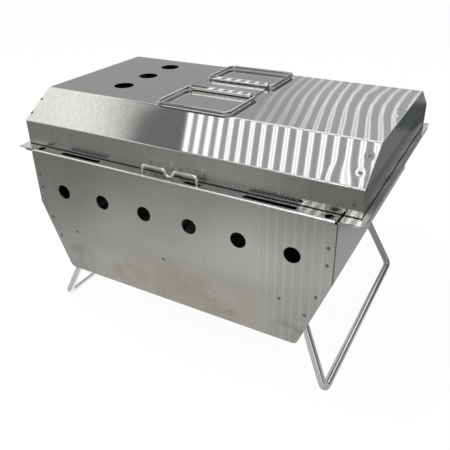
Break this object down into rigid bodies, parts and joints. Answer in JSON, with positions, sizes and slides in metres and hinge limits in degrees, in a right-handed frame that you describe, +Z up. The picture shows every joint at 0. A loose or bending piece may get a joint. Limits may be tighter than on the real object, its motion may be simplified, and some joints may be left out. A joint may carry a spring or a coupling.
{
  "type": "charcoal barbecue grill",
  "caption": "Portable charcoal barbecue grill of bent stainless sheet: a tapered trough with a sliding vent damper and lift-out grates, on rod legs, under a lift-off lid with folding bails.",
  "frame": {"origin": "on the ground under the middle of the trough, where the legs' bars stand", "axes": "+X along the front to the right, +Y from the front panel with the vents to the back, +Z up"},
  "size_m": [0.448, 0.317, 0.3043],
  "materials": {
    "body_sheet": "stainless sheet, finely brushed upright, a little stained near the floor",
    "lid_sheet": "polished stainless sheet with a faint upright grain",
    "inner_sheet": "mill-finish stainless sheet",
    "polished_rod": "polished round rod",
    "grate_wire": "bright drawn wire"
  },
  "bodies": {
    "body": {"trough": "body_sheet", "front_panel": "body_sheet", "rear_panel": "body_sheet", "front_grate_rail": "inner_sheet", "rear_grate_rail": "inner_sheet", "left_damper_guide": "inner_sheet", "right_damper_guide": "inner_sheet", "left_leg_seat": "inner_sheet", "right_leg_seat": "inner_sheet"},
    "damper": {"damper_plate": "inner_sheet", "damper_pull": "polished_rod"},
    "charcoal_grate": {"charcoal_grate": "inner_sheet"},
    "cooking_grate": {"cooking_grate_frame": "grate_wire", "cooking_grate_bars": "grate_wire", "cooking_grate_ties": "grate_wire"},
    "lid": {"lid_shell": "lid_sheet", "lid_left_end": "lid_sheet", "lid_right_end": "lid_sheet", "bail_bracket": "lid_sheet"},
    "front_bail": {"front_bail": "polished_rod"},
    "rear_bail": {"rear_bail": "polished_rod"},
    "left_leg": {"left_leg": "polished_rod"},
    "right_leg": {"right_leg": "polished_rod"}
  },
  "joints": [
    {"name": "damper_lift", "type": "slide", "parent": "body", "child": "damper", "axis": [0, 0, 1], "range_m": [0, 0.022]},
    {"name": "charcoal_grate_lift", "type": "slide", "parent": "body", "child": "charcoal_grate", "axis": [0, 0, 1], "range_m": [0, 0.065]},
    {"name": "cooking_grate_lift", "type": "slide", "parent": "body", "child": "cooking_grate", "axis": [0, 0, 1], "range_m": [0, 0.022]},
    {"name": "lid_lift", "type": "slide", "parent": "body", "child": "lid", "axis": [0, 0, 1], "range_m": [0, 0.15]},
    {"name": "front_bail_swing", "type": "hinge", "parent": "lid", "child": "front_bail", "pos_m": [0, -0.024, 0.30115], "axis": [-1, 0, 0], "range_deg": [0, 105]},
    {"name": "rear_bail_swing", "type": "hinge", "parent": "lid", "child": "rear_bail", "pos_m": [0, 0.024, 0.30115], "axis": [1, 0, 0], "range_deg": [0, 105]},
    {"name": "left_leg_pull_out", "type": "slide", "parent": "body", "child": "left_leg", "axis": [-0.4242, 0, -0.9056], "range_m": [0, 0.026]},
    {"name": "right_leg_pull_out", "type": "slide", "parent": "body", "child": "right_leg", "axis": [0.4242, 0, -0.9056], "range_m": [0, 0.026]}
  ]
}
